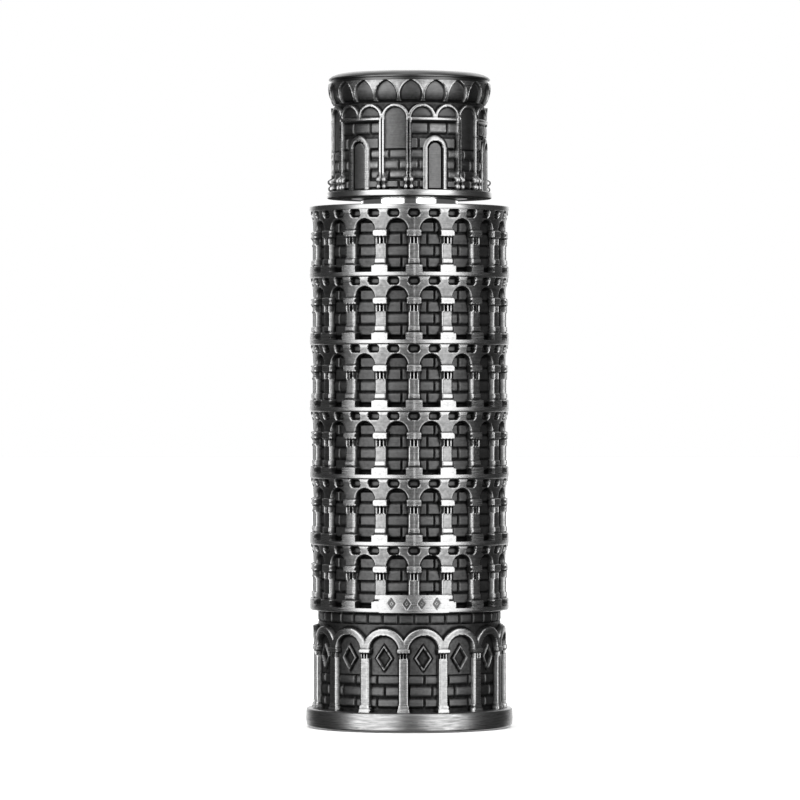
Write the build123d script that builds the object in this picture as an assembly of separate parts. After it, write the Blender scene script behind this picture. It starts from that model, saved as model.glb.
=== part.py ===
from build123d import *

import os
from math import radians

# Miniature bell tower keepsake: a round tower of cast storeys stacked on a steel liner, closed by a
# lift-off belfry. The tower stands on z = 0 with its axis on +Z. The front, where the plaque is, faces -Y.
# Azimuths are in degrees to the right of the front, so +90 is the +X side. Lengths are in millimetres.

# Heights of the stack, from the table upwards.
PAD_DROP = 0.15
PLINTH_HEIGHT = 3.0
GROUND_HEIGHT = 15.0
LOGGIA_HEIGHTS = (10.02, 10.12, 10.16, 10.18, 10.2, 10.22)
TERRACE_THICKNESS = 0.8
TERRACE_ROUND = 0.35
BELFRY_GAP = 1.2
BELFRY_HEIGHT = 19.1

LOGGIA_BOTTOM = PLINTH_HEIGHT + GROUND_HEIGHT
TERRACE_BOTTOM = LOGGIA_BOTTOM + sum(LOGGIA_HEIGHTS)
TERRACE_TOP = TERRACE_BOTTOM + TERRACE_THICKNESS
BELFRY_BOTTOM = TERRACE_TOP + BELFRY_GAP

# Radii of the tower's skin.
PLINTH_RADIUS = 15.83
BAND_RADIUS = 15.3
FLARE_RADIUS = 15.25
FLARE_HOLLOW = 0.16
ARCADE_RADIUS = 14.75
WALL_RADIUS = 14.25
EMBED = 0.3

# The liner, its key and the neck that the belfry fits over.
LINER_RADIUS = 11.0
LINER_BORE = 10.0
STACK_BORE = LINER_RADIUS + 0.05
KEY_WIDTH = 1.2
KEY_DEPTH = 0.6
KEY_CLEARANCE = 0.05
NECK_RADIUS = 7.4
NECK_BORE = 6.2
NECK_HEIGHT = 9.1
FLANGE_THICKNESS = 1.2
SPIGOT_HEIGHT = 1.5
SPIGOT_WALL = 1.1
NECK_TOP = TERRACE_BOTTOM + NECK_HEIGHT
LINER_TOP = TERRACE_BOTTOM - FLANGE_THICKNESS

# The foot.
PAD_RADIUS = 14.1
PAD_THICKNESS = 1.0
PAD_CLEARANCE = 0.1
PLINTH_ROUND = 0.7
FOOT_SPIGOT_HEIGHT = 2.5

# One bay of a loggia, heights above the underside of its slab.
BAY_COUNT = 18
SLAB_THICKNESS = 0.72
BLOCK_BOTTOM = 0.3
BLOCK_TOP = 1.82
BASE_BOTTOM = 2.0
BASE_TOP = 2.75
CAPITAL_BOTTOM = 6.05
SPRING = 7.08
FLARE_START = 8.6
ARCH_RADIUS = 1.6
SHAFT_WIDTH = 1.7
BLOCK_WIDTH = 2.5
BASE_WIDTH = 1.75
CAPITAL_WIDTH = 2.25
BLOCK_RADIUS = 15.1
BASE_RADIUS = 14.92
CAPITAL_RADIUS = 15.02

# The row of weep windows in the flare under each slab.
WINDOW_COUNT = 30
WINDOW_WIDTH = 1.6
WINDOW_HEIGHT = 1.04
WINDOW_CORNER = 0.4
WINDOW_DROP = 0.12

# The plaque on the lowest loggia.
PLAQUE_TOP = 2.75
PLAQUE_BACK = BLOCK_RADIUS
PLAQUE_FACE = 15.45
PLAQUE_START = -20.1
PLAQUE_SWEEP = 40.2

# The ground storey, heights above the plinth.
GROUND_BAYS = 15
GROUND_PHASE = 5.8
GROUND_WALL = 14.1
GROUND_FACE = 14.5
GROUND_COLUMN = 14.78
GROUND_CAPITAL = 15.0
FRIEZE_RADIUS = 14.35
FRIEZE_BOTTOM = 13.4
GROUND_SHAFT_WIDTH = 1.41
GROUND_FOOT_WIDTH = 1.88
GROUND_FOOT_TOP = 0.75
GROUND_CAPITAL_WIDTH = 1.9
GROUND_CAPITAL_BOTTOM = 8.95
GROUND_SPRING = 9.58
GROUND_ARCH_CENTRE = 9.3
GROUND_ARCH_INNER = 2.26
GROUND_ARCH_OUTER = 3.44
LOZENGE_CENTRE = 8.15
LOZENGE_HALF_WIDTH = 1.4
LOZENGE_HALF_HEIGHT = 2.0
LOZENGE_RIM = 0.3
LOZENGE_RADIUS = 14.45

# The belfry, heights above its underside.
BELFRY_BAYS = 6
BELFRY_PHASE = -13.25
BELFRY_BAND_RADIUS = 12.65
BELFRY_BAND_HEIGHT = 1.0
BELFRY_WALL_RADIUS = 11.7
BELFRY_FACE_RADIUS = 12.0
BELFRY_INNER = 10.6
BELFRY_SPRING = 11.85
SILL_BOTTOM = 11.3
SILL_TOP = 11.75
SILL_WIDTH = 7.2
SILL_RADIUS = 12.1
TRACERY_WIDTH = 0.35
COLONNETTE_WIDTH = 0.7
COLONNETTE_FOOT = 2.95
COLONNETTE_RADIUS = 12.05
HEAD_RADIUS = 2.0
DOOR_WIDTH = 3.9
DOOR_FRAME = 0.6
DOOR_SPRING = 7.25
BEAD_RADIUS = 0.42
BEAD_FACE_RADIUS = 12.3
BEAD_SPREAD = 0.46
BEAD_HEIGHTS = (1.45, 2.4)
CORNICE_BOTTOM = 13.9
CORNICE_TOP = 17.6
CORNICE_RADIUS = 12.45
CORNICE_FOOT_RADIUS = 11.75
POINTED_COUNT = 20
POINTED_PHASE = -1.57
POINTED_WIDTH = 3.1
POINTED_BOTTOM = 14.3
POINTED_TOP = 17.35
POINTED_RADIUS = 11.85
RIM_RADIUS = 12.4
RIM_NECK_RADIUS = 12.05
RIM_BOTTOM = 18.1
RIM_SHOULDER = 0.2
RIM_SWELL = 0.19
RIM_TOP_RADIUS = 10.7
RIM_INNER = 9.6
ROOF_RADIUS = 10.2
ROOF_BOTTOM = 18.2
ROOF_THICKNESS = 0.6

# The socket inside the belfry.
SLEEVE_BORE = NECK_RADIUS + 0.1
SLEEVE_RADIUS = 8.9
SLEEVE_CAP = 1.4
GASKET_THICKNESS = 0.8
SEAL_HEIGHT = 85.2
SEAL_SECTION = 0.5
SEAL_CLEARANCE = 0.03


def tube(radius, bore, bottom, top):
    """A straight ring about the tower's axis."""
    return Pos(0, 0, bottom) * extrude(Circle(radius) - Circle(bore), amount=top - bottom)


def disc(radius, bottom, top):
    """A straight disc about the tower's axis."""
    return Pos(0, 0, bottom) * extrude(Circle(radius), amount=top - bottom)


def turned(outline, sweep=360):
    """A closed outline of (radius, height) edges, turned about the axis."""
    return revolve(Plane.XZ * make_face(outline), Axis.Z, sweep)


def turned_points(points, sweep=360):
    """A straight-sided outline of (radius, height) points, turned about the axis."""
    return turned(Polyline(*points, close=True), sweep)


def outward(shape_2d, reach=4.0, start=BELFRY_INNER):
    """A prism of an outline drawn on the front of the tower, from near the axis out past the skin."""
    plane = Plane(origin=(0, -start, 0), x_dir=(1, 0, 0), z_dir=(0, -1, 0))
    return extrude(plane * shape_2d, amount=BAND_RADIUS + reach - start)


def around(shape, count, phase=0.0):
    """Copies of a shape, spaced evenly about the axis."""
    return [Rot(0, 0, phase + 360 / count * i) * shape for i in range(count)]


def block(width, bottom, top):
    """An upright rectangle on the front of the tower."""
    return Pos(0, (bottom + top) / 2) * Rectangle(width, top - bottom)


def doorway(width, bottom, spring):
    """An upright rectangle with a round head."""
    return block(width, bottom, spring) + Pos(0, spring) * Circle(width / 2)


def relief(prisms, radius, bore, bottom, top):
    """The parts of a ring that lie inside the prisms, so that their faces follow the round wall."""
    ring = tube(radius, bore, bottom, top)
    found = []
    for prism in prisms:
        found += (ring & prism).solids()
    return found


def keyway():
    """The slot that lets a storey slide down over the liner's key."""
    width = KEY_WIDTH + 2 * KEY_CLEARANCE
    depth = LINER_RADIUS + KEY_DEPTH + KEY_CLEARANCE
    return Pos(0, depth / 2, TERRACE_TOP / 2) * Box(width, depth, TERRACE_TOP)


def loggia(height):
    """One open-gallery storey: slab, wall, eighteen arches on columns, and the flare with its windows."""
    flare = [
        Polyline(
            (WALL_RADIUS - EMBED, height),
            (WALL_RADIUS - EMBED, SLAB_THICKNESS),
            (ARCADE_RADIUS, SLAB_THICKNESS),
            (ARCADE_RADIUS, FLARE_START),
        ),
        SagittaArc((ARCADE_RADIUS, FLARE_START), (FLARE_RADIUS, height), -FLARE_HOLLOW),
        Line((FLARE_RADIUS, height), (WALL_RADIUS - EMBED, height)),
    ]
    pitch = 360 / BAY_COUNT
    opening = ARCADE_RADIUS * radians(pitch) - SHAFT_WIDTH
    arch = block(opening, SLAB_THICKNESS, SPRING) + Pos(0, SPRING) * Circle(ARCH_RADIUS)
    window = RectangleRounded(WINDOW_WIDTH, WINDOW_HEIGHT, WINDOW_CORNER)
    window = Pos(0, height - WINDOW_DROP - WINDOW_HEIGHT / 2) * window
    arcade = turned(flare).cut(
        *around(outward(arch), BAY_COUNT, pitch / 2),
        *around(outward(window), WINDOW_COUNT),
    )
    blocks = []
    for width, bottom, top, radius in (
        (BLOCK_WIDTH, BLOCK_BOTTOM, BLOCK_TOP, BLOCK_RADIUS),
        (BASE_WIDTH, BASE_BOTTOM, BASE_TOP, BASE_RADIUS),
        (CAPITAL_WIDTH, CAPITAL_BOTTOM, SPRING, CAPITAL_RADIUS),
    ):
        prisms = around(outward(block(width, bottom, top)), BAY_COUNT)
        blocks += relief(prisms, radius, WALL_RADIUS - EMBED, bottom, top)
    core = tube(WALL_RADIUS, STACK_BORE, 0, height)
    slab = tube(BAND_RADIUS, STACK_BORE, 0, SLAB_THICKNESS)
    return core.fuse(slab, *arcade.solids(), *blocks).cut(keyway())


def ground_storey():
    """The blind arcade at street level: fifteen arches on half columns, each round a lozenge."""
    bay = 360 / GROUND_BAYS
    outer = Pos(0, GROUND_ARCH_CENTRE) * Circle(GROUND_ARCH_OUTER)
    inner = doorway(2 * GROUND_ARCH_INNER, -1, GROUND_ARCH_CENTRE)
    above = Pos(0, GROUND_SPRING + 5) * Rectangle(7, 10)
    archivolt = (outer & above) - inner
    panels = tube(GROUND_FACE, GROUND_WALL - EMBED, 0, FRIEZE_BOTTOM).cut(
        *around(outward(inner), GROUND_BAYS, GROUND_PHASE)
    )
    bands = relief(
        around(outward(archivolt), GROUND_BAYS, GROUND_PHASE),
        GROUND_COLUMN,
        GROUND_WALL,
        0,
        FRIEZE_BOTTOM,
    )
    columns = []
    for width, bottom, top, radius in (
        (GROUND_SHAFT_WIDTH, 0, GROUND_SPRING, GROUND_COLUMN),
        (GROUND_FOOT_WIDTH, 0, GROUND_FOOT_TOP, GROUND_CAPITAL),
        (GROUND_CAPITAL_WIDTH, GROUND_CAPITAL_BOTTOM, GROUND_SPRING, GROUND_CAPITAL),
    ):
        prisms = around(outward(block(width, bottom, top)), GROUND_BAYS, GROUND_PHASE + bay / 2)
        columns += relief(prisms, radius, GROUND_WALL - EMBED, bottom, top)
    lozenge = Pos(0, LOZENGE_CENTRE) * (diamond(0) - diamond(LOZENGE_RIM))
    frames = relief(
        around(outward(lozenge), GROUND_BAYS, GROUND_PHASE),
        LOZENGE_RADIUS,
        GROUND_WALL - EMBED,
        0,
        FRIEZE_BOTTOM,
    )
    core = tube(GROUND_WALL, STACK_BORE, 0, GROUND_HEIGHT)
    frieze = tube(FRIEZE_RADIUS, STACK_BORE, FRIEZE_BOTTOM, GROUND_HEIGHT)
    storey = core.fuse(frieze, *panels.solids(), *bands, *columns, *frames)
    return Pos(0, 0, PLINTH_HEIGHT) * storey.cut(keyway())


def diamond(inset):
    """A lozenge outline about the origin, drawn in by an inset."""
    width = LOZENGE_HALF_WIDTH - 1.22 * inset
    height = LOZENGE_HALF_HEIGHT - 1.74 * inset
    return Polygon((width, 0), (0, height), (-width, 0), (0, -height), align=None)


def plinth():
    """The brushed foot ring, with a recess for the pad below and a spigot for the liner above."""
    outer = disc(PLINTH_RADIUS, PAD_DROP, PLINTH_HEIGHT)
    outer = fillet(outer.edges().filter_by(GeomType.CIRCLE), PLINTH_ROUND)
    recess = disc(PAD_RADIUS + PAD_CLEARANCE, 0, PAD_THICKNESS)
    spigot_radius = LINER_BORE - 0.03
    spigot = tube(
        spigot_radius,
        spigot_radius - SPIGOT_WALL,
        PLINTH_HEIGHT - EMBED,
        PLINTH_HEIGHT + FOOT_SPIGOT_HEIGHT,
    )
    return (outer + spigot) - recess


def plaque():
    """The curved plate across the front of the lowest loggia, hooked over the edge of its slab."""
    outline = [
        (BAND_RADIUS, 0),
        (PLAQUE_FACE, 0),
        (PLAQUE_FACE, PLAQUE_TOP),
        (PLAQUE_BACK, PLAQUE_TOP),
        (PLAQUE_BACK, SLAB_THICKNESS),
        (BAND_RADIUS, SLAB_THICKNESS),
    ]
    plate = turned_points(outline, PLAQUE_SWEEP)
    return Pos(0, 0, LOGGIA_BOTTOM) * Rot(0, 0, PLAQUE_START - 90) * plate


def terrace():
    """The roof terrace over the sixth loggia, with a rounded edge."""
    ring = tube(BAND_RADIUS, NECK_RADIUS + 0.05, TERRACE_BOTTOM, TERRACE_TOP)
    edge = ring.edges().filter_by(GeomType.CIRCLE).group_by(Axis.Z)[-1].sort_by(SortBy.RADIUS)[-1]
    return fillet(edge, TERRACE_ROUND)


def neck():
    """The polished neck: a spigot inside the liner, a flange on its rim, and the tube the belfry covers."""
    spigot_radius = LINER_BORE - 0.03
    outline = [
        (spigot_radius - SPIGOT_WALL, LINER_TOP - SPIGOT_HEIGHT),
        (spigot_radius, LINER_TOP - SPIGOT_HEIGHT),
        (spigot_radius, LINER_TOP),
        (LINER_RADIUS, LINER_TOP),
        (LINER_RADIUS, TERRACE_BOTTOM),
        (NECK_RADIUS, TERRACE_BOTTOM),
        (NECK_RADIUS, NECK_TOP - 0.4),
        (NECK_RADIUS - 0.4, NECK_TOP),
        (NECK_BORE, NECK_TOP),
        (NECK_BORE, LINER_TOP),
        (spigot_radius - SPIGOT_WALL, LINER_TOP),
    ]
    return turned_points(outline)


def register_key():
    """The strip on the back of the liner that keeps every storey's columns in line."""
    bar = Pos(0, LINER_RADIUS, (PLINTH_HEIGHT + LINER_TOP) / 2) * Box(
        KEY_WIDTH, 4, LINER_TOP - PLINTH_HEIGHT - 1
    )
    return tube(LINER_RADIUS + KEY_DEPTH, LINER_RADIUS, PLINTH_HEIGHT, LINER_TOP) & bar


def cap_sleeve():
    """The closed socket in the belfry, with an inside groove for the seal."""
    top = NECK_TOP + GASKET_THICKNESS + SLEEVE_CAP
    body = disc(SLEEVE_RADIUS, BELFRY_BOTTOM, top)
    bore = disc(SLEEVE_BORE, BELFRY_BOTTOM, NECK_TOP + GASKET_THICKNESS)
    half = SEAL_SECTION + 2 * SEAL_CLEARANCE
    depth = NECK_RADIUS + 2 * SEAL_SECTION + 3 * SEAL_CLEARANCE
    groove = disc(depth, SEAL_HEIGHT - half, SEAL_HEIGHT + half)
    return body - bore - groove


def neck_seal():
    """The rubber ring in the sleeve's groove that grips the neck."""
    major = NECK_RADIUS + SEAL_SECTION + SEAL_CLEARANCE
    return Pos(0, 0, SEAL_HEIGHT) * Torus(major, SEAL_SECTION)


def belfry_wall():
    """The belfry's wall: six tall niches between six double bays, each with a door, under tracery."""
    tall = 360 / BAY_COUNT
    bay = BELFRY_PHASE + 180 / BELFRY_BAYS
    head = Pos(0, BELFRY_SPRING) * (Circle(HEAD_RADIUS) - Circle(HEAD_RADIUS - TRACERY_WIDTH))
    head &= block(8, BELFRY_SPRING, CORNICE_BOTTOM)
    frame = doorway(DOOR_WIDTH, BELFRY_BAND_HEIGHT, DOOR_SPRING)
    frame -= doorway(DOOR_WIDTH - 2 * DOOR_FRAME, 0, DOOR_SPRING)
    raised = belfry_relief(head, BELFRY_FACE_RADIUS, BAY_COUNT, (BELFRY_PHASE,))
    raised += belfry_relief(frame, BELFRY_FACE_RADIUS, BELFRY_BAYS, (bay,))
    raised += belfry_relief(block(SILL_WIDTH, SILL_BOTTOM, SILL_TOP), SILL_RADIUS, BELFRY_BAYS, (bay,))
    edges = (BELFRY_PHASE - tall / 2, BELFRY_PHASE + tall / 2)
    colonnette = block(COLONNETTE_WIDTH, COLONNETTE_FOOT, BELFRY_SPRING + 0.2)
    raised += belfry_relief(colonnette, COLONNETTE_RADIUS, BELFRY_BAYS, edges)
    for height in BEAD_HEIGHTS:
        for shift in (-BEAD_SPREAD, BEAD_SPREAD):
            bead = Pos(shift, height) * Circle(BEAD_RADIUS)
            raised += belfry_relief(bead, BEAD_FACE_RADIUS, BELFRY_BAYS, edges)
    wall = tube(BELFRY_WALL_RADIUS, BELFRY_INNER, BELFRY_BAND_HEIGHT, CORNICE_BOTTOM)
    return Pos(0, 0, BELFRY_BOTTOM) * wall.fuse(*raised)


def belfry_relief(outline, radius, count, phases):
    """One outline, repeated about the belfry's wall and raised to a radius."""
    prisms = []
    for phase in phases:
        prisms += around(outward(outline, start=9), count, phase)
    return relief(prisms, radius, BELFRY_WALL_RADIUS - EMBED, BELFRY_BAND_HEIGHT, CORNICE_BOTTOM)


def pointed_arch():
    """The outline of one pointed recess in the belfry's cornice."""
    half = POINTED_WIDTH / 2
    waist = POINTED_BOTTOM + 0.9
    left = ThreePointArc((-half, waist), (-half * 0.72, waist + 1.25), (0, POINTED_TOP))
    right = ThreePointArc((0, POINTED_TOP), (half * 0.72, waist + 1.25), (half, waist))
    toe = half * 0.8
    foot = Polyline((half, waist), (toe, POINTED_BOTTOM), (-toe, POINTED_BOTTOM), (-half, waist))
    return make_face([left, right, foot])


def belfry_cornice():
    """The flared ring of twenty pointed recesses over the tracery."""
    outline = [
        Polyline((CORNICE_RADIUS - 0.1, CORNICE_TOP), (BELFRY_INNER, CORNICE_TOP)),
        Polyline((BELFRY_INNER, CORNICE_TOP), (BELFRY_INNER, CORNICE_BOTTOM)),
        Polyline((BELFRY_INNER, CORNICE_BOTTOM), (CORNICE_FOOT_RADIUS, CORNICE_BOTTOM)),
        SagittaArc(
            (CORNICE_FOOT_RADIUS, CORNICE_BOTTOM), (CORNICE_RADIUS - 0.1, CORNICE_TOP), -0.35
        ),
    ]
    ring = turned(outline)
    cutters = []
    for solid in around(outward(pointed_arch(), start=9), POINTED_COUNT, POINTED_PHASE):
        cutters += (solid - disc(POINTED_RADIUS, POINTED_BOTTOM - 1, CORNICE_TOP + 1)).solids()
    return Pos(0, 0, BELFRY_BOTTOM) * ring.cut(*cutters)


def roof_rim():
    """The domed top moulding on its narrower neck, with a rebate for the roof plate."""
    rebate = ROOF_RADIUS + 0.05
    shoulder = RIM_BOTTOM + RIM_SHOULDER
    outline = [
        Polyline(
            (RIM_TOP_RADIUS, BELFRY_HEIGHT),
            (rebate, BELFRY_HEIGHT),
            (rebate, ROOF_BOTTOM),
            (RIM_INNER, ROOF_BOTTOM),
            (RIM_INNER, CORNICE_TOP),
            (RIM_NECK_RADIUS, CORNICE_TOP),
            (RIM_NECK_RADIUS, RIM_BOTTOM),
            (RIM_RADIUS, RIM_BOTTOM),
            (RIM_RADIUS, shoulder),
        ),
        SagittaArc((RIM_RADIUS, shoulder), (RIM_TOP_RADIUS, BELFRY_HEIGHT), -RIM_SWELL),
    ]
    return Pos(0, 0, BELFRY_BOTTOM) * turned(outline)


def main():
    os.makedirs("parts", exist_ok=True)
    nodes = {
        "foot_pad": disc(PAD_RADIUS, 0, PAD_THICKNESS),
        "plinth": plinth(),
        "ground_storey": ground_storey(),
        "plaque": plaque(),
        "terrace": terrace(),
        "liner_tube": tube(LINER_RADIUS, LINER_BORE, PLINTH_HEIGHT, LINER_TOP),
        "register_key": register_key(),
        "neck": neck(),
        "neck_seal": neck_seal(),
        "cap_sleeve": cap_sleeve(),
        "cap_gasket": disc(SLEEVE_BORE - 0.05, NECK_TOP, NECK_TOP + GASKET_THICKNESS),
        "belfry_base": tube(
            BELFRY_BAND_RADIUS, SLEEVE_RADIUS, BELFRY_BOTTOM, BELFRY_BOTTOM + BELFRY_BAND_HEIGHT
        ),
        "belfry_wall": belfry_wall(),
        "belfry_cornice": belfry_cornice(),
        "roof_rim": roof_rim(),
        "roof_plate": Pos(0, 0, BELFRY_BOTTOM) * disc(
            ROOF_RADIUS, ROOF_BOTTOM, ROOF_BOTTOM + ROOF_THICKNESS
        ),
    }
    floor = LOGGIA_BOTTOM
    for number, height in enumerate(LOGGIA_HEIGHTS, start=1):
        nodes[f"loggia_{number}"] = Pos(0, 0, floor) * loggia(height)
        floor += height
    for name, shape in nodes.items():
        export_step(shape, f"parts/{name}.step")


main()
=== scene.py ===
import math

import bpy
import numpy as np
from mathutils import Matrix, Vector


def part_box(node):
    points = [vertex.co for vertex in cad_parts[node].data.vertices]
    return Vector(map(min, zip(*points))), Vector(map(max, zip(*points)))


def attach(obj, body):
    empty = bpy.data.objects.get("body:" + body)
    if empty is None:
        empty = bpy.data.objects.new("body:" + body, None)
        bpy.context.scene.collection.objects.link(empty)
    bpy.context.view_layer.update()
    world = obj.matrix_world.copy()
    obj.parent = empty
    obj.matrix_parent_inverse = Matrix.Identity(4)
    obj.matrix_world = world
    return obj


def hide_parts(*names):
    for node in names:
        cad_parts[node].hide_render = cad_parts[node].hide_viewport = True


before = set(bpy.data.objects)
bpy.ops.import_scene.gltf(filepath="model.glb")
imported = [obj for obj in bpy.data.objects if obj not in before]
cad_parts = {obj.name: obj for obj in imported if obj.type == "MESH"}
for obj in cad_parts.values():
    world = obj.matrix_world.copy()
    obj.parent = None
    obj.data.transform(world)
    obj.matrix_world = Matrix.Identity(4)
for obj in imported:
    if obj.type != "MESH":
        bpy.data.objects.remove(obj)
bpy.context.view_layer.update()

# The looks of a miniature bell tower keepsake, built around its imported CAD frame.
#
# Azimuths are in degrees and run from the front (-Y) towards +X. Relief is worked out in millimetres, as a
# radius over azimuth and height, and made into meshes in metres. Studio angles are in degrees.

MM = 0.001
STOREYS = [f"loggia_{number}" for number in range(1, 7)]


# ---------------------------------------------------------------- relief helpers


def soft_step(distance, soft):
    """1 inside an outline and 0 outside it, with a slope as wide as soft across the edge."""
    return np.clip(0.5 - distance / soft, 0.0, 1.0)


def level(radius, weight, height):
    """Moves the surface to a radius wherever the weight says."""
    return radius + (height - radius) * weight


def rectangle(u, v, half_width, bottom, top, corner=0.0):
    """Signed distance to an upright rectangle with rounded corners."""
    across = np.abs(u) - half_width + corner
    along = np.abs(v - (bottom + top) / 2) - (top - bottom) / 2 + corner
    outside = np.hypot(np.maximum(across, 0), np.maximum(along, 0))
    return outside + np.minimum(np.maximum(across, along), 0) - corner


def circle(u, v, radius):
    """Signed distance to a circle about u = v = 0."""
    return np.hypot(u, v) - radius


def lozenge(u, v, half_width, half_height):
    """Signed distance to a lozenge about u = v = 0."""
    slope = math.hypot(half_width, half_height)
    return (np.abs(u) * half_height + np.abs(v) * half_width - half_width * half_height) / slope


def pointed(u, v, half_width, rise):
    """Signed distance to a leaf with a point at v = rise, widest at v = 0."""
    reach = (rise**2 + half_width**2) / (2 * half_width)
    return np.hypot(np.abs(u) + reach - half_width, v) - reach


def along(azimuth, count, phase, radius):
    """Arc length from the nearest of count evenly spaced axes, the first of them at phase degrees."""
    pitch = 360 / count
    return np.radians((azimuth - phase + pitch / 2) % pitch - pitch / 2) * radius


def unlike(index, seed):
    """A steady pseudo-random number in -1..1 for each whole index."""
    value = np.sin(index * 12.9898 + seed * 78.233) * 43758.5453
    return 2 * (value - np.floor(value)) - 1


BRICK_CORNER = 0.14
BRICK_EDGE = 0.2
BRICK_UNEVENNESS = 0.05


def brickwork(azimuth, z, courses, count, phases, radius, mortar, brick, joint):
    """Courses of bricks, each (bottom, top), whose upright joints swap between two phases."""
    surface = np.full(azimuth.shape, float(mortar))
    pitch = 360 / count
    for number, (bottom, top) in enumerate(courses):
        start = phases[number % 2]
        u = along(azimuth, count, start + pitch / 2, radius)
        which = np.floor((azimuth - start) / pitch) % count
        height = brick + BRICK_UNEVENNESS * unlike(which, number + count)
        half = math.pi * radius / count - joint / 2
        weight = soft_step(rectangle(u, z, half, bottom, top, BRICK_CORNER), BRICK_EDGE)
        surface = level(surface, weight, height)
    return surface


def heights(top, step, edges, soft=0.06, fine=()):
    """Row heights from 0 to top: a pair of rows at each edge, and others no further apart than step."""
    marks = {0.0, top}
    for edge in edges:
        marks.update((edge - soft / 2, edge + soft / 2))
    marks = sorted(mark for mark in marks if 0 <= mark <= top)
    rows = [marks[0]]
    for low, high in zip(marks, marks[1:]):
        gap = step
        for fine_low, fine_high, fine_step in fine:
            if fine_low <= (low + high) / 2 <= fine_high:
                gap = fine_step
        parts = max(1, math.ceil((high - low) / gap))
        rows += [low + (high - low) * part / parts for part in range(1, parts + 1)]
    return np.array(rows)


def blurred(values, passes, wrap):
    """A repeated three-point blur, down the rows and around the ring."""
    for _ in range(passes):
        padded = np.pad(values, ((1, 1), (0, 0)), mode="edge")
        values = (padded[:-2] + 2 * padded[1:-1] + padded[2:]) / 4
        if wrap:
            before, after = np.roll(values, 1, axis=1), np.roll(values, -1, axis=1)
        else:
            sides = np.pad(values, ((0, 0), (1, 1)), mode="edge")
            before, after = sides[:, :-2], sides[:, 2:]
        values = (before + 2 * values + after) / 4
    return values


# ---------------------------------------------------------------- mesh makers


def finish_mesh(name, points, faces, sharp_degrees, material, attributes=None):
    """A smooth object, sharp where faces meet at more than an angle, with float point attributes."""
    mesh = bpy.data.meshes.new(name)
    mesh.from_pydata((np.asarray(points) * MM).tolist(), [], faces)
    for key, values in (attributes or {}).items():
        mesh.attributes.new(key, "FLOAT", "POINT").data.foreach_set("value", values.astype(np.float32))
    mesh.shade_smooth()
    mesh.set_sharp_from_angle(angle=math.radians(sharp_degrees))
    mesh.materials.append(material)
    piece = bpy.data.objects.new(name, mesh)
    bpy.context.scene.collection.objects.link(piece)
    return piece


def on_ring(azimuth, radius, z):
    """Points from azimuths in degrees, radii and heights."""
    turn = np.radians(azimuth)
    x, y, z = np.broadcast_arrays(radius * np.sin(turn), -radius * np.cos(turn), z)
    return np.stack([x, y, z], axis=-1).reshape(-1, 3)


def relief_ring(name, base, rows, columns, surface, bore, material, floor, face):
    """A closed ring whose outer skin follows surface(azimuth, height), above a base height."""
    turn = np.arange(columns) * 360 / columns - 180
    azimuth, z = np.meshgrid(turn, rows)
    radius = surface(azimuth, z)
    outer = on_ring(azimuth, radius, z + base)
    inner_low = on_ring(turn, bore, base + rows[0])
    inner_high = on_ring(turn, bore, base + rows[-1])
    index = np.arange(len(rows) * columns).reshape(len(rows), columns)
    low = np.arange(columns) + len(outer)
    high = low + columns

    def quads(a, b, c, d):
        return np.stack([a, b, c, d], axis=-1).reshape(-1, 4)

    following = np.roll(index, -1, axis=1)
    low_next, high_next = np.roll(low, -1), np.roll(high, -1)
    faces = np.concatenate(
        [
            quads(index[:-1], following[:-1], following[1:], index[1:]),
            quads(index[0], low, low_next, following[0]),
            quads(index[-1], following[-1], high_next, high),
            quads(low_next, low, high, high_next),
        ]
    )
    depth, wear = patina(radius, floor, face, True)
    plain = np.full(2 * columns, PLAIN_DEPTH)
    attributes = {
        "depth": np.concatenate([depth.ravel(), plain]),
        "wear": np.concatenate([wear.ravel(), plain * 0]),
    }
    points = np.concatenate([outer, inner_low, inner_high])
    return finish_mesh(name, points, faces.tolist(), RELIEF_SHARP, material, attributes)


WEAR_BLUR = 6
WEAR_REACH = 0.16
PLAIN_DEPTH = 0.5
RELIEF_SHARP = 70
LATHE_SHARP = 50


def patina(radius, floor, face, wrap):
    """How far out each point stands, 0 to 1, and how much it stands over or under what is around it."""
    depth = np.clip((radius - floor) / (face - floor), 0, 1)
    wear = np.clip((radius - blurred(radius, WEAR_BLUR, wrap)) / WEAR_REACH, -1, 1)
    return depth, wear


def relief_patch(name, base, rows, columns, half_angle, surface, back, material, floor, face):
    """A closed curved plate, half_angle(z) degrees to each side of the front, with relief on its face."""
    share, z = np.meshgrid(np.linspace(-1, 1, columns), rows)
    azimuth = share * half_angle(z)
    radius = surface(azimuth, z)
    outer = on_ring(azimuth, radius, z + base)
    inner = on_ring(azimuth, np.full(z.shape, float(back)), z + base)
    index = np.arange(z.size).reshape(z.shape)
    behind = index + z.size
    faces = []
    for sheet, flipped in ((index, False), (behind, True)):
        quad = np.stack([sheet[:-1, :-1], sheet[:-1, 1:], sheet[1:, 1:], sheet[1:, :-1]], axis=-1)
        quad = quad.reshape(-1, 4)
        faces.append(quad[:, ::-1] if flipped else quad)
    rim_out = np.concatenate([index[0, :-1], index[:-1, -1], index[-1, :0:-1], index[:0:-1, 0]])
    rim_in = rim_out + z.size
    faces.append(np.stack([rim_out, rim_in, np.roll(rim_in, -1), np.roll(rim_out, -1)], axis=-1))
    depth, wear = patina(radius, floor, face, False)
    attributes = {
        "depth": np.concatenate([depth.ravel(), np.full(z.size, PLAIN_DEPTH)]),
        "wear": np.concatenate([wear.ravel(), np.zeros(z.size)]),
    }
    points = np.concatenate([outer, inner])
    return finish_mesh(name, points, np.concatenate(faces).tolist(), RELIEF_SHARP, material, attributes)


GUARD = 0.02


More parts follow.
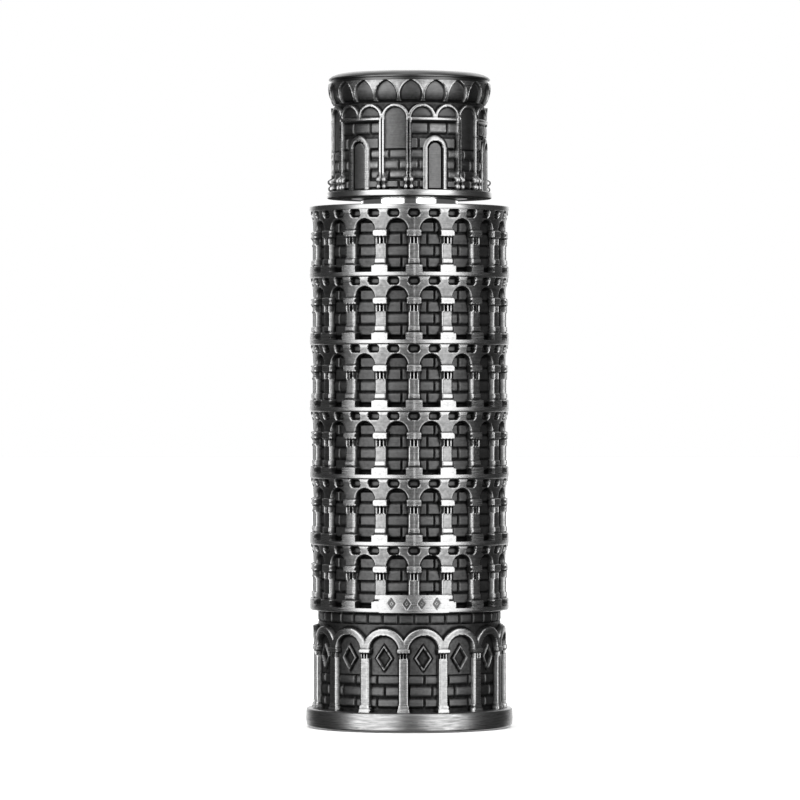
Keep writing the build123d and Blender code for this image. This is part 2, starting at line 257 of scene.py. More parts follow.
def rounded(corners, steps=4):
    """An outline of (radius, height, rounding) corners, each cut by a short curve.

    A guard point just past both ends of a curve keeps the long faces beside it flat in their shading.
    """
    outline = []
    count = len(corners)
    for number, (r, z, rounding) in enumerate(corners):
        here = np.array([r, z])
        if rounding == 0:
            outline.append(here)
            continue
        before = np.array(corners[number - 1][:2]) - here
        after = np.array(corners[(number + 1) % count][:2]) - here
        before = before / np.linalg.norm(before)
        after = after / np.linalg.norm(after)
        outline.append(here + before * (rounding + GUARD))
        for share in np.linspace(0, 1, steps + 1):
            bend = before * (1 - share) ** 2 + after * share**2
            outline.append(here + bend * rounding)
        outline.append(here + after * (rounding + GUARD))
    return np.array(outline)


def lathe(name, outline, material, segments=288):
    """A closed outline of (radius, height) points, anticlockwise, turned about the tower's axis."""
    turn = np.arange(segments) * 360 / segments
    on_axis = outline[:, 0] < 1e-6
    points, rows = [], []
    total = 0
    for (radius, z), centred in zip(outline, on_axis):
        if centred:
            points.append([[0.0, 0.0, z]])
            rows.append(np.full(segments, total))
            total += 1
        else:
            points.append(on_ring(turn, radius, z))
            rows.append(np.arange(segments) + total)
            total += segments
    faces = []
    for number, row in enumerate(rows):
        other = rows[(number + 1) % len(rows)]
        if on_axis[number] and on_axis[(number + 1) % len(rows)]:
            continue  # two centre points have no face between them
        for a, b, c, d in zip(row, np.roll(row, -1), np.roll(other, -1), other):
            corners = list(dict.fromkeys((int(a), int(b), int(c), int(d))))
            faces.append(corners)
    return finish_mesh(name, np.concatenate(points), faces, LATHE_SHARP, material)


def stand_for(piece, node, body):
    """The piece rides on a body and takes a CAD node's place, and the node is hidden."""
    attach(piece, body)
    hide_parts(node)
    return piece


def bottom(node):
    """The height of a node's underside, in millimetres."""
    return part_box(node)[0][2] / MM


def top(node):
    """The height of a node's top, in millimetres."""
    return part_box(node)[1][2] / MM


# ---------------------------------------------------------------- materials


def add(tree, kind, properties=None, **sockets):
    """A shader node. A socket, by name or as i and its number, takes a value or another node's output."""
    made = tree.nodes.new(kind)
    for key, value in (properties or {}).items():
        setattr(made, key, value)
    for key, value in sockets.items():
        numbered = key.startswith("i") and key[1:].isdigit()
        key = int(key[1:]) if numbered else key.replace("_", " ")
        socket = made.inputs[key]
        if isinstance(value, bpy.types.NodeSocket):
            tree.links.new(value, socket)
        else:
            socket.default_value = value
    return made


def maths(tree, operation, first, second=0.0, clamp=False):
    """One number from one or two others."""
    properties = {"operation": operation, "use_clamp": clamp}
    return add(tree, "ShaderNodeMath", properties, i0=first, i1=second).outputs[0]


def ramp(tree, value, *stops):
    """A colour ramp from (position, grey or colour) stops."""
    made = add(tree, "ShaderNodeValToRGB", i0=value)
    elements = made.color_ramp.elements
    while len(elements) < len(stops):
        elements.new(0.5)
    for element, (position, colour) in zip(elements, stops):
        element.position = position
        element.color = (*colour, 1) if isinstance(colour, tuple) else (colour, colour, colour, 1)
    return made.outputs["Color"]


def streaks(tree, across, along_scale, detail=4.0, distortion=0.0):
    """Noise drawn out around the axis: fine up and down, long the other way. Scales are per metre."""
    where = add(tree, "ShaderNodeTexCoord").outputs["Object"]
    stretched = add(tree, "ShaderNodeMapping", Vector=where, Scale=(along_scale, along_scale, across))
    drawn_out = stretched.outputs[0]
    noise = add(tree, "ShaderNodeTexNoise", Vector=drawn_out, Scale=1.0, Detail=detail, Roughness=0.6)
    noise.inputs["Distortion"].default_value = distortion
    return noise.outputs["Fac"]


def grain(tree, scale, detail=3.0):
    """Even noise. The scale is per metre."""
    where = add(tree, "ShaderNodeTexCoord").outputs["Object"]
    noise = add(tree, "ShaderNodeTexNoise", Vector=where, Scale=scale, Detail=detail, Roughness=0.6)
    return noise.outputs["Fac"]


def new_material(name):
    """An empty node material, with its shader and output."""
    material = bpy.data.materials.new(name)
    material.use_nodes = True
    tree = material.node_tree
    tree.nodes.clear()
    shader = add(tree, "ShaderNodeBsdfPrincipled")
    output = add(tree, "ShaderNodeOutputMaterial")
    tree.links.new(shader.outputs[0], output.inputs[0])
    return material, tree, shader


def tint(tree, grey, amount):
    """Multiplies a grey by an amount, as a colour."""
    properties = {"data_type": "RGBA", "blend_type": "MULTIPLY"}
    return add(tree, "ShaderNodeMix", properties, i0=1.0, i6=grey, i7=amount).outputs[2]


def antique_metal(name, tones):
    """Cast metal, darkened in its recesses and rubbed bright on its high faces and edges."""
    material, tree, shader = new_material(name)
    depth = add(tree, "ShaderNodeAttribute", {"attribute_name": "depth"}).outputs["Fac"]
    wear = add(tree, "ShaderNodeAttribute", {"attribute_name": "wear"}).outputs["Fac"]
    cloud = grain(tree, 1900.0, 5.0)
    line = streaks(tree, 14000.0, 500.0)
    pits = grain(tree, 9000.0, 2.0)

    rubbed = maths(tree, "MULTIPLY", maths(tree, "MAXIMUM", wear, 0.0), 0.25)
    hollow = maths(tree, "MULTIPLY", maths(tree, "MINIMUM", wear, 0.0), 0.3)
    mottled = maths(tree, "MULTIPLY", maths(tree, "SUBTRACT", cloud, 0.5), 0.42)
    shown = maths(tree, "ADD", maths(tree, "ADD", depth, rubbed), maths(tree, "ADD", hollow, mottled), True)
    colour = ramp(tree, shown, *tones)
    brushed = ramp(tree, line, (0.3, 0.6), (0.7, 1.0))
    tree.links.new(tint(tree, colour, brushed), shader.inputs["Base Color"])
    shader.inputs["Metallic"].default_value = 1.0

    rough = ramp(tree, shown, (0.0, 0.58), (0.5, 0.4), (1.0, 0.29))
    scratched = maths(tree, "MULTIPLY", maths(tree, "SUBTRACT", line, 0.5), 0.35)
    tree.links.new(maths(tree, "ADD", rough, scratched, True), shader.inputs["Roughness"])

    first = add(tree, "ShaderNodeBump", Strength=0.25, Distance=0.00003, Height=line)
    second = add(
        tree, "ShaderNodeBump", Strength=0.35, Distance=0.00005, Height=pits, Normal=first.outputs[0]
    )
    tree.links.new(second.outputs[0], shader.inputs["Normal"])
    return material


def brushed_metal(name, low, high, rough, wave=0.0):
    """Metal brushed around the axis, with long strokes of uneven brightness."""
    material, tree, shader = new_material(name)
    broad = streaks(tree, 2600.0, 130.0, 5.0, wave)
    fine = streaks(tree, 16000.0, 420.0, 4.0, wave / 2)
    mixed = maths(tree, "ADD", maths(tree, "MULTIPLY", broad, 0.6), maths(tree, "MULTIPLY", fine, 0.4))
    tree.links.new(ramp(tree, mixed, (0.35, low), (0.65, high)), shader.inputs["Base Color"])
    shader.inputs["Metallic"].default_value = 1.0
    tree.links.new(ramp(tree, mixed, (0.3, rough + 0.14), (0.7, rough - 0.06)), shader.inputs["Roughness"])
    bump = add(tree, "ShaderNodeBump", Strength=0.3, Distance=0.00004, Height=mixed)
    tree.links.new(bump.outputs[0], shader.inputs["Normal"])
    return material


def polished_metal(name, grey):
    """Polished metal with a faint uneven haze."""
    material, tree, shader = new_material(name)
    haze = grain(tree, 400.0)
    tree.links.new(ramp(tree, haze, (0.3, grey * 0.94), (0.7, grey)), shader.inputs["Base Color"])
    tree.links.new(ramp(tree, haze, (0.3, 0.04), (0.7, 0.09)), shader.inputs["Roughness"])
    shader.inputs["Metallic"].default_value = 1.0
    return material


def matte_black(name, grey):
    """A matte black finish with a fine even grain: for rubber, and as painted shade on faces that look down.
    """
    material, tree, shader = new_material(name)
    speck = grain(tree, 6000.0)
    tree.links.new(ramp(tree, speck, (0.3, grey * 0.7), (0.7, grey * 1.4)), shader.inputs["Base Color"])
    shader.inputs["Roughness"].default_value = 0.75
    bump = add(tree, "ShaderNodeBump", Strength=0.4, Distance=0.00005, Height=speck)
    tree.links.new(bump.outputs[0], shader.inputs["Normal"])
    return material


ANTIQUE_TONES = ((0.0, 0.008), (0.14, 0.02), (0.32, 0.05), (0.7, 0.09), (0.88, 0.17), (1.0, 0.25))
ANTIQUE = antique_metal("antique_metal", ANTIQUE_TONES)
PLINTH_METAL = brushed_metal("plinth_metal", 0.06, 0.24, 0.31, 2.5)
BAND_METAL = brushed_metal("band_metal", 0.14, 0.27, 0.25)
# The roof rim takes a much darker copy of the band's brushed metal: painted shade for the dark its domed top
# shows.
RIM_METAL_SHADED = brushed_metal("rim_metal_painted_shade", 0.03, 0.075, 0.3)
# Near-black painted shade for the belfry base's underside, which faces down, away from the lights.
UNDERSIDE_PAINTED_SHADE = matte_black("dark_metal", 0.008)
NECK_METAL = polished_metal("neck_metal", 0.8)
TUBE_METAL = brushed_metal("tube_metal", 0.4, 0.55, 0.3)
SEAL_RUBBER = matte_black("seal_rubber", 0.02)
PAD_RUBBER = matte_black("pad_rubber", 0.03)


# ---------------------------------------------------------------- loggias

RING_BORE = 11.05
LOGGIA_COLUMNS = 18
LOGGIA_WINDOWS = 30
LOGGIA_SEGMENTS = 1080
LOGGIA_TONES = (13.5, 15.2)
LOGGIA_COURSES = ((1.36, 2.84), (3.08, 4.6), (4.84, 6.44), (6.7, 8.2))
LOGGIA_BRICKS = 360 / 16.1
LOGGIA_BRICK_PHASES = (8.5, 13.1)
SLAB_TOP = 0.74
BLOCK_TOP = 1.84
BASE_BOTTOM, BASE_TOP = 1.98, 2.76
FLUTE_FLOOR = 5.0
CAPITAL_BOTTOM, CAPITAL_TOP = 6.02, 7.1
FLARE_BOTTOM = 8.3
WINDOW_TOP_DROP, WINDOW_BOTTOM_DROP = 0.11, 1.15


def loggia_surface(azimuth, z, height):
    """One open gallery, as radii over azimuth and height above the underside of its slab."""
    column = along(azimuth, LOGGIA_COLUMNS, 0, 14.85)
    bay = along(azimuth, LOGGIA_COLUMNS, 180 / LOGGIA_COLUMNS, 14.85)
    window_axis = along(azimuth, LOGGIA_WINDOWS, 0, 15.1)
    wall = brickwork(
        azimuth, z, LOGGIA_COURSES, LOGGIA_BRICKS, LOGGIA_BRICK_PHASES, 13.9,
        mortar=13.76, brick=14.04, joint=0.26,
    )
    flare = np.clip((z - FLARE_BOTTOM) / 1.5, 0, 1)
    face = 14.78 + 0.34 * flare**1.5
    opening = np.minimum(rectangle(bay, z, 1.7, -1, 7.05), circle(bay, z - 7.04, 1.64))
    surface = level(face, soft_step(opening, 0.18), wall)
    pane = rectangle(window_axis, z, 0.84, height - WINDOW_BOTTOM_DROP, height - WINDOW_TOP_DROP, 0.42)
    surface = level(surface, soft_step(pane, 0.2), 14.1)

    post = soft_step(rectangle(column, z, 0.9, 1.7, 6.2), 0.06)
    edge = np.clip((np.abs(column) - 0.62) / 0.26, 0, 1)
    surface = level(surface, post, 14.9 - 0.18 * edge**2)
    gap = soft_step(rectangle(column, z, 1.0, FLUTE_FLOOR, 6.1), 0.06)
    surface = level(surface, gap, 14.35)
    for shift in (-0.55, 0, 0.55):
        flute = rectangle(column - shift, z, 0.15, 4.9, 6.2)
        surface = level(surface, soft_step(flute, 0.1), 15.0)
    surface = level(surface, soft_step(rectangle(column, z, 0.86, 1.7, 2.2), 0.06), 14.86)
    surface = raised(surface, column, z, 0.88, BASE_BOTTOM, BASE_TOP, 15.08)
    surface = raised(surface, column, z, 1.14, CAPITAL_BOTTOM, CAPITAL_TOP, 15.14)
    surface = raised(surface, column, z, 1.27, -1, BLOCK_TOP, 15.27)
    slab = soft_step(z - SLAB_TOP, 0.06)
    surface = level(surface, slab, 15.28 - 0.1 * np.clip(1 - z / 0.12, 0, 1) ** 2)
    return surface + parting_line(azimuth, surface, 14.7)


def parting_line(azimuth, surface, least):
    """The faint ridge where two halves of a mould met, front and back, on faces past a least radius."""
    ridge = np.clip(1 - np.abs(along(azimuth, 2, 0, 15.0)) / 0.12, 0, 1)
    return 0.03 * ridge * (surface > least)


def raised(surface, u, z, half_width, low, high, radius):
    """A block on the surface, with a softened edge."""
    return level(surface, soft_step(rectangle(u, z, half_width, low, high, 0.03), 0.09), radius)


def make_loggias():
    """The six open galleries, which differ only in height."""
    edges = [SLAB_TOP, BLOCK_TOP, BASE_BOTTOM, BASE_TOP, FLUTE_FLOOR, CAPITAL_BOTTOM, CAPITAL_TOP]
    edges += [edge for course in LOGGIA_COURSES for edge in course]
    for node in STOREYS:
        height = top(node) - bottom(node)
        rows = heights(height, 0.3, edges, 0.08, ((CAPITAL_TOP, 8.8, 0.1), (8.8, height, 0.1)))

        def surface(azimuth, z):
            return loggia_surface(azimuth, z, height)

        piece = relief_ring(
            f"{node}_casting", bottom(node), rows, LOGGIA_SEGMENTS, surface, RING_BORE, ANTIQUE, *LOGGIA_TONES
        )
        stand_for(piece, node, "tower")


# ---------------------------------------------------------------- ground storey

GROUND_BAYS = 15
GROUND_PHASE = 5.8
GROUND_SEGMENTS = 1008
GROUND_TONES = (13.62, 15.0)
LOZENGE_HEIGHT = 8.17
ARCH_HEIGHT = 9.3
FRIEZE_BRICKS = 36
GROUND_COURSES = ((0.8, 2.0), (2.4, 3.8), (4.22, 5.5))


def ground_surface(azimuth, z):
    """The blind arcade, as radii over azimuth and height above the plinth."""
    bay = along(azimuth, GROUND_BAYS, GROUND_PHASE, 14.5)
    column = along(azimuth, GROUND_BAYS, GROUND_PHASE + 180 / GROUND_BAYS, 14.5)
    bricks = brickwork(azimuth, z, GROUND_COURSES, 24, (6.8, 11.8), 14.1, mortar=13.8, brick=14.1, joint=0.35)
    panel = level(bricks, soft_step(5.6 - z, 0.1), 14.02)
    for half_width, half_height, radius in ((1.6, 2.26, 13.9), (1.4, 2.02, 14.42), (1.02, 1.5, 13.85)):
        outline = lozenge(bay, z - LOZENGE_HEIGHT, half_width, half_height)
        panel = level(panel, soft_step(outline, 0.12), radius)

    frieze = np.full(azimuth.shape, 13.98)
    slot = along(azimuth, FRIEZE_BRICKS, 5.3, 14.2)
    course = soft_step(rectangle(slot * 0, z, 5, 13.26, 14.95), 0.1)
    frieze = level(frieze, course, 13.82)
    frieze = level(frieze, soft_step(rectangle(slot, z, 1.04, 13.4, 14.8, 0.1), 0.14), 14.02)

    inner = np.minimum(rectangle(bay, z, 2.28, -1, ARCH_HEIGHT), circle(bay, z - ARCH_HEIGHT, 2.26))
    outer = np.maximum(circle(bay, z - ARCH_HEIGHT, 3.44), 8.9 - z)
    band = 14.76 + 0.05 * np.clip(-outer / 0.4, 0, 1)
    surface = level(frieze, soft_step(outer, 0.14), band)
    surface = level(surface, soft_step(z - 9.4, 0.1), 14.3)
    surface = level(surface, soft_step(inner, 0.16), panel)

    edge = np.clip((np.abs(column) - 0.5) / 0.23, 0, 1)
    shaft = soft_step(rectangle(column, z, 0.74, -1, 8.4), 0.08)
    surface = level(surface, shaft, 14.82 - 0.15 * edge**2)
    surface = level(surface, soft_step(rectangle(column, z, 0.8, 8.14, 9.0), 0.06), 14.1)
    for shift in (-0.46, 0, 0.46):
        flute = rectangle(column - shift, z, 0.13, 8.05, 9.05)
        surface = level(surface, soft_step(flute, 0.1), 14.84)
    surface = raised(surface, column, z, 0.97, 8.9, 9.58, 15.0)
    surface = raised(surface, column, z, 0.82, -1, 1.1, 14.88)
    return raised(surface, column, z, 0.95, -1, 0.56, 15.0)


def make_ground_storey():
    """The ring with the blind arcade and the brick frieze."""
    node = "ground_storey"
    edges = [0.56, 1.1, 5.6, 8.14, 8.9, 9.58, 13.26, 13.4, 14.8, 14.95]
    edges += [edge for course in GROUND_COURSES for edge in course]
    fine = ((6.1, 10.3, 0.16), (10.3, 12.9, 0.13))
    rows = heights(top(node) - bottom(node), 0.4, edges, 0.08, fine)
    piece = relief_ring(
        f"{node}_casting", bottom(node), rows, GROUND_SEGMENTS, ground_surface, RING_BORE,
        ANTIQUE, *GROUND_TONES,
    )
    stand_for(piece, node, "tower")


# ---------------------------------------------------------------- plaque


PLAQUE_RADIUS = 15.42
PLAQUE_BACK = 15.28
PLAQUE_STEP = 2.1
PLAQUE_MARKS = (-3.45, -1.15, 1.15, 3.45)
MARK_HEIGHT = 1.45
MARK_FLOOR = 15.2


def plaque_surface(azimuth, z):
    """A plain band with four small engraved lozenges."""
    u = np.radians(azimuth) * 15.4
    surface = np.full(azimuth.shape, PLAQUE_RADIUS)
    for place in PLAQUE_MARKS:
        cut = lozenge(u - place, z - MARK_HEIGHT, 0.62, 0.86)
        surface = level(surface, soft_step(np.abs(cut + 0.14) - 0.14, 0.1), MARK_FLOOR)
        surface = level(surface, soft_step(circle(u - place, z - MARK_HEIGHT, 0.13), 0.1), MARK_FLOOR)
    return surface - 0.08 * np.clip(1 - z / 0.1, 0, 1) ** 2


def make_plaque():
    """The curved plate, a little narrower above its step."""
    node = "plaque"

    def half_angle(z):
        return np.where(z > PLAQUE_STEP, 19.3, 20.1)

    rows = heights(top(node) - bottom(node), 0.09, (PLAQUE_STEP,), 0.04)
    piece = relief_patch(
        "plaque_plate", bottom(node), rows, 150, half_angle, plaque_surface, PLAQUE_BACK, ANTIQUE, 14.4, 15.4
    )
    stand_for(piece, node, "tower")


# ---------------------------------------------------------------- belfry

BELFRY_PHASE = -13.25
BELFRY_INNER = 10.6
BELFRY_BAYS = 6
BELFRY_HEADS = 18
BELFRY_SEGMENTS = 936
BELFRY_TONES = (11.25, 12.1)
BELFRY_OFFSET = 1.0
SEAM_ANGLE = 10
BELFRY_COURSES = ((1.35, 2.35), (2.7, 3.8), (4.1, 5.35), (5.75, 6.95), (7.25, 8.8), (9.5, 11.05))


def belfry_surface(azimuth, z):
    """The belfry's wall, as radii over azimuth and height above its own underside.

    Heights inside are above the underside of the band that it stands on.
    """
    z = z + BELFRY_OFFSET
    niche = along(azimuth, BELFRY_BAYS, BELFRY_PHASE, 11.9)
    door = along(azimuth, BELFRY_BAYS, BELFRY_PHASE + 180 / BELFRY_BAYS, 11.9)
    head = along(azimuth, BELFRY_HEADS, BELFRY_PHASE, 11.9)
    left_seam = np.abs(along(azimuth, BELFRY_BAYS, BELFRY_PHASE - SEAM_ANGLE, 11.9))
    right_seam = np.abs(along(azimuth, BELFRY_BAYS, BELFRY_PHASE + SEAM_ANGLE, 11.9))
    seam = np.minimum(left_seam, right_seam)
    wall = brickwork(azimuth, z, BELFRY_COURSES, 24, (4.3, 11.8), 11.7, mortar=11.44, brick=11.72, joint=0.32)
    surface = level(wall, soft_step(11.3 - z, 0.08), 11.58)
    above = soft_step(rectangle(head, z, 9, 11.85, 14), 0.08)
    outside = soft_step(-circle(head, z - 11.85, 1.86), 0.12)
    surface = level(surface, above * outside, 11.4)

    inside = np.minimum(rectangle(niche, z, 1.62, 1, 11.85), circle(niche, z - 11.85, 1.62))
    plate = soft_step(7.2 - z, 0.08)
    surface = level(surface, soft_step(inside, 0.12) * plate, 11.62)

    opening = np.minimum(rectangle(door, z, 1.22, 1, 7.1), circle(door, z - 7.1, 1.22))
    frame_outline = np.minimum(rectangle(door, z, 2.0, 1, 7.1), pointed(door, z - 7.1, 2.0, 2.2))
    frame_radius = 12.0 - 0.14 * np.clip((opening - 0.45) / 0.35, 0, 1) ** 2
    surface = level(surface, soft_step(frame_outline, 0.12), frame_radius)
    surface = level(surface, soft_step(opening, 0.12), 11.66)
    surface = level(surface, soft_step(np.abs(opening + 0.06) - 0.1, 0.08), 11.4)

    hoop = np.abs(circle(head, z - 11.8, 1.95)) - 0.25
    surface = level(surface, soft_step(np.maximum(hoop, 11.75 - z), 0.1), 12.02)
    sill = 12.05 - 0.14 * np.clip(np.abs(z - 11.66) / 0.34, 0, 1) ** 2
    surface = level(surface, soft_step(rectangle(door, z, 3.95, 11.32, 12.0), 0.1), sill)
    strips = soft_step(np.abs(seam - 0.24) - 0.18, 0.08)
    roll = strips * soft_step(rectangle(z * 0, z, 9, 2.8, 11.9), 0.08)
    return beads(level(surface, roll, 12.06), seam, z)


BEADS = ((2.5, 0.6), (1.46, 0.54))
BEAD_SHIFT = 0.44
BEAD_SQUASH = 1.3
BEAD_AXIS = 11.85


def beads(surface, seam, z):
    """A pair of beads at the foot of each seam, one above the other."""
    for height, size in BEADS:
        distance = np.hypot((seam - BEAD_SHIFT) * BEAD_SQUASH, z - height)
        ball = BEAD_AXIS + np.sqrt(np.clip(size**2 - distance**2, 0, None)) * BEAD_SQUASH
        surface = np.where(distance < size, np.maximum(surface, ball), surface)
    waist = soft_step(rectangle(seam - BEAD_SHIFT, z, 0.2, 1.46, 2.52), 0.1)
    return np.maximum(surface, level(surface, waist, 12.05))


def make_belfry_wall():
    """The belfry's ring of doors, niches and round heads."""
    node = "belfry_wall"
    edges = [0.2, 10.56, 10.94, 12.8]
    edges += [edge - 1 for course in BELFRY_COURSES for edge in course]
    fine = ((0.0, 2.1, 0.09), (6.0, 8.4, 0.115), (10.9, 12.9, 0.12))
    rows = heights(top(node) - bottom(node), 0.4, edges, 0.08, fine)
    piece = relief_ring(
        f"{node}_casting", bottom(node), rows, BELFRY_SEGMENTS, belfry_surface, BELFRY_INNER,
        ANTIQUE, *BELFRY_TONES,
    )
    stand_for(piece, node, "belfry")


CORNICE_LEAVES = 20
CORNICE_PHASE = -1.57
CORNICE_SEGMENTS = 1080
CORNICE_TONES = (11.15, 12.55)
LEAF_DEPTH = 0.52


def cornice_surface(azimuth, z):
    """The flare with its pointed leaves, as radii over azimuth and height above its underside."""
    rise = np.clip((z - 0.35) / 2.4, 0, 1)
    face = 11.72 + 0.72 * np.sin(rise * math.pi / 2) - 0.1 * np.clip((z - 2.9) / 0.8, 0, 1)
    leaf = along(azimuth, CORNICE_LEAVES, CORNICE_PHASE, 12.2)
    cut = np.maximum(pointed(leaf, z - 1.35, 1.64, 2.3), 0.5 - z)
    rim = soft_step(np.abs(cut - 0.08) - 0.08, 0.08) * soft_step(0.75 - z, 0.1)
    surface = level(face, rim, face + 0.06)
    surface = level(surface, soft_step(cut, 0.16), face - LEAF_DEPTH)
    return level(surface, soft_step(z - 0.4, 0.1), 11.45)


def make_cornice():
    """The flared ring under the roof's rim."""
    node = "belfry_cornice"
    rows = heights(top(node) - bottom(node), 0.09, (0.5,), 0.08)
    piece = relief_ring(
        f"{node}_casting", bottom(node), rows, CORNICE_SEGMENTS, cornice_surface, BELFRY_INNER,
        ANTIQUE, *CORNICE_TONES,
    )
    stand_for(piece, node, "belfry")


# ---------------------------------------------------------------- turned pieces


FACING_DOWN = -0.6


def turned(node, body, material, *corners, underside=None):
    """A turned piece from (radius, height, rounding) corners, with heights above the node's underside.

    Faces that look down take the underside's material, if there is one, which paints shade on them.
    """
    outline = rounded(corners) + np.array([0, bottom(node)])
    piece = stand_for(lathe(f"{node}_turned", outline, material), node, body)
    if underside:
        piece.data.materials.append(underside)
        for face in piece.data.polygons:
            face.material_index = int(face.normal.z < FACING_DOWN)


def make_turned_pieces():
    """The plain round pieces, each from its section."""
    plinth = top("plinth") - bottom("plinth")
    turned(
        "plinth", "tower", PLINTH_METAL,
        (14.2, 0, 0.1), (15.66, 0, 0.35), (15.83, 1.2, 0.3), (15.8, 2.85, 0.4), (9.97, 2.85, 0),
        (9.97, plinth, 0.2), (8.87, plinth, 0.2), (8.87, 2.85, 0), (0, 2.85, 0), (0, 0.85, 0),
        (14.2, 0.85, 0.1),
    )
    turned(
        "terrace", "tower", BAND_METAL,
        (7.45, 0, 0), (15.3, 0, 0.08), (15.3, 0.8, 0.2), (7.45, 0.8, 0.05),
    )
    neck = top("neck") - bottom("neck")
    turned(
        "neck", "tower", NECK_METAL,
        (8.87, 0, 0.1), (9.97, 0, 0.1), (9.97, 1.5, 0), (11, 1.5, 0.05), (11, 2.7, 0.05), (7.4, 2.7, 0.05),
        (7.4, neck, 0.4), (6.2, neck, 0.2), (6.2, 1.5, 0.1), (8.87, 1.5, 0),
    )
    turned(
        "belfry_base", "belfry", BAND_METAL,
        (8.9, 0, 0), (12.45, 0, 0.06), (12.64, 0.14, 0.08), (12.58, 1, 0.14), (8.9, 1, 0),
        # The base's downward faces are painted near-black: painted shade.
        underside=UNDERSIDE_PAINTED_SHADE,
    )
    turned(
        "roof_rim", "belfry", RIM_METAL_SHADED,
        (9.6, 0, 0), (12.0, 0, 0.05), (12.05, 0.46, 0.05), (12.38, 0.5, 0.04), (12.36, 0.74, 0.12),
        (11.7, 1.26, 0.5), (10.7, 1.5, 0.2), (10.25, 1.5, 0.06), (10.25, 0.6, 0), (9.6, 0.6, 0),
    )
    turned("roof_plate", "belfry", BAND_METAL, (0, 0, 0), (10.2, 0, 0.03), (10.2, 0.6, 0.08), (0, 0.6, 0))
    turned(
        "cap_sleeve", "belfry", TUBE_METAL,
        (7.5, 0, 0.15), (8.9, 0, 0.1), (8.9, 9.3, 0.2), (0, 9.3, 0), (0, 7.9, 0), (7.5, 7.9, 0),
        (7.5, 4.86, 0), (8.49, 4.86, 0.1), (8.49, 3.74, 0.1), (7.5, 3.74, 0),
    )
    turned("cap_gasket", "belfry", SEAL_RUBBER, (0, 0, 0), (7.45, 0, 0.1), (7.45, 0.8, 0.1), (0, 0.8, 0))
    turned("foot_pad", "tower", PAD_RUBBER, (0, 0, 0), (14.1, 0, 0.15), (14.1, 1, 0.1), (0, 1, 0))
    liner = top("liner_tube") - bottom("liner_tube")
    turned(
        "liner_tube", "tower", TUBE_METAL,
        (10, 0, 0.1), (11, 0, 0.1), (11, liner, 0.1), (10, liner, 0.1),
    )


# ---------------------------------------------------------------- studio

CAMERA_AZIMUTH = -2.6
CAMERA_DISTANCE = 0.75
CAMERA_HEIGHT = 0.0513
AIM = (-0.00144, 0.05008)
LENS = 220
FLOOR_HALF_SIDE = 3.0
LEFT_BOX = (-68, -15)
RIGHT_BOX = (19, 64)
BOX_RISE = (-35, 60)
BOX_EDGE = 4
BOX_RISE_EDGE = 12
BOX_STRENGTH = 6.0
WALL_STRENGTH = 1.8
CEILING_STRENGTH = 1.2
ROOM_STRENGTH = 0.12


def make_camera():
    """A long lens at the height of the tower's middle."""
    turn = math.radians(CAMERA_AZIMUTH)
    data = bpy.data.cameras.new("camera")
    data.lens = LENS
    data.clip_start = 0.05
    camera = bpy.data.objects.new("camera", data)
    bpy.context.scene.collection.objects.link(camera)
    right = Vector((math.cos(turn), math.sin(turn), 0))
    camera.location = Vector((math.sin(turn), -math.cos(turn), 0)) * CAMERA_DISTANCE
    camera.location.z = CAMERA_HEIGHT
    camera.location += right * AIM[0]
    target = right * AIM[0] + Vector((0, 0, AIM[1]))
    camera.rotation_euler = (target - camera.location).to_track_quat("-Z", "Y").to_euler()
    bpy.context.scene.camera = camera


def make_floor():
    """A plain pale floor."""
    material, tree, shader = new_material("floor_white")
    speck = grain(tree, 300.0)
    tree.links.new(ramp(tree, speck, (0.3, 0.86), (0.7, 0.88)), shader.inputs["Base Color"])
    shader.inputs["Roughness"].default_value = 0.8
    mesh = bpy.data.meshes.new("floor")
    side = FLOOR_HALF_SIDE
    corners = [(-side, -side, 0), (side, -side, 0), (side, side, 0), (-side, side, 0)]
    mesh.from_pydata(corners, [], [(0, 1, 2, 3)])
    mesh.materials.append(material)
    floor = bpy.data.objects.new("floor", mesh)
    bpy.context.scene.collection.objects.link(floor)
    floor.visible_glossy = False


def window(tree, angle, low, high, soft):
    """1 between two angles in degrees, falling to 0 over a soft edge."""
    rising = slope(tree, angle, low - soft, low + soft)
    falling = slope(tree, angle, high - soft, high + soft, 1.0, 0.0)
    return maths(tree, "MULTIPLY", rising, falling)


def slope(tree, value, low, high, start=0.0, end=1.0):
    """A number that goes from start to end as the value goes from low to high."""
    return add(tree, "ShaderNodeMapRange", i0=value, i1=low, i2=high, i3=start, i4=end).outputs[0]


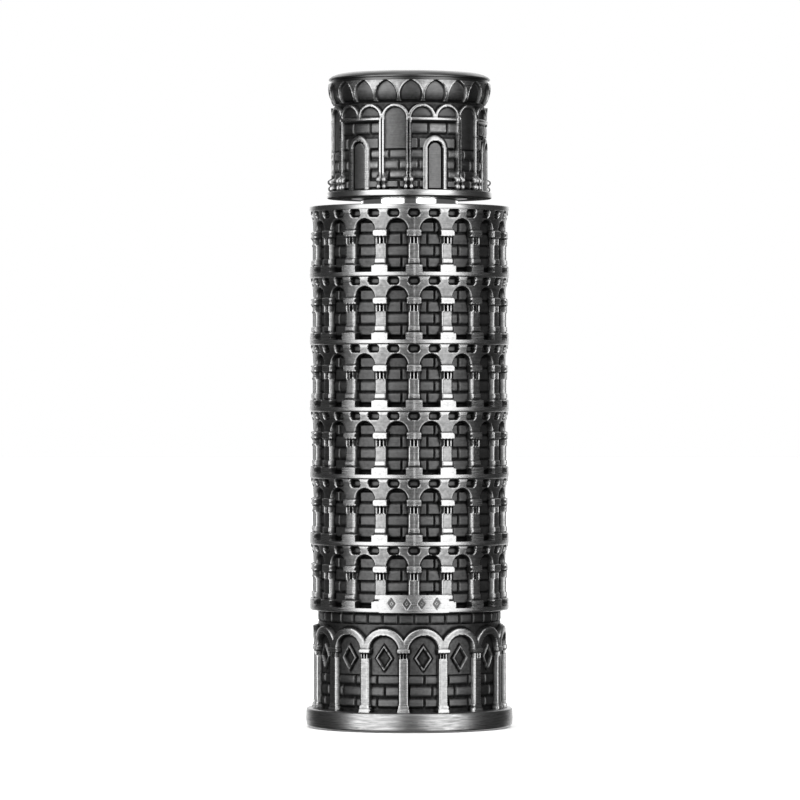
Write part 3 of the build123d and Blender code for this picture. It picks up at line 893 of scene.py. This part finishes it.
def make_studio():
    """Two tall soft boxes at the front with a dark strip between them, a dim room and a white wall behind."""
    world = bpy.data.worlds.new("studio")
    bpy.context.scene.world = world
    world.use_nodes = True
    tree = world.node_tree
    tree.nodes.clear()
    way = add(tree, "ShaderNodeTexCoord").outputs["Generated"]
    split = add(tree, "ShaderNodeSeparateXYZ", i0=way)
    x, y, z = split.outputs
    turn = maths(tree, "ARCTAN2", x, maths(tree, "MULTIPLY", y, -1.0))
    azimuth = maths(tree, "SUBTRACT", maths(tree, "MULTIPLY", turn, 180 / math.pi), CAMERA_AZIMUTH)
    rise = maths(tree, "MULTIPLY", maths(tree, "ARCSINE", z), 180 / math.pi)
    left = maths(tree, "MULTIPLY", window(tree, azimuth, *LEFT_BOX, BOX_EDGE), BOX_STRENGTH)
    right = maths(tree, "MULTIPLY", window(tree, azimuth, *RIGHT_BOX, BOX_EDGE), BOX_STRENGTH)
    upright = window(tree, rise, *BOX_RISE, BOX_RISE_EDGE)
    boxes = maths(tree, "MULTIPLY", maths(tree, "ADD", left, right), upright)
    around = maths(tree, "ABSOLUTE", azimuth)
    behind = maths(tree, "MULTIPLY", slope(tree, around, 140.0, 160.0), WALL_STRENGTH)
    above = maths(tree, "MULTIPLY", slope(tree, rise, 50.0, 85.0), CEILING_STRENGTH)
    room = maths(tree, "ADD", above, ROOM_STRENGTH)
    total = maths(tree, "ADD", maths(tree, "ADD", boxes, behind), room)
    lit = add(tree, "ShaderNodeBackground", Color=(1, 1, 1, 1), Strength=total)
    seen = add(tree, "ShaderNodeBackground", Color=(1, 1, 1, 1), Strength=1.0)
    rays = add(tree, "ShaderNodeLightPath")
    to_camera = rays.outputs["Is Camera Ray"]
    mixed = add(tree, "ShaderNodeMixShader", i0=to_camera, i1=lit.outputs[0], i2=seen.outputs[0])
    output = add(tree, "ShaderNodeOutputWorld")
    tree.links.new(mixed.outputs[0], output.inputs[0])
    bpy.context.scene.view_settings.view_transform = "Standard"


def dress_cad_nodes():
    """The CAD nodes that show as they are get their materials."""
    for node, material in (("register_key", TUBE_METAL), ("neck_seal", SEAL_RUBBER)):
        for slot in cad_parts[node].material_slots:
            slot.material = material


make_camera()
make_loggias()
make_ground_storey()
make_plaque()
make_belfry_wall()
make_cornice()
make_turned_pieces()
dress_cad_nodes()
make_floor()
make_studio()
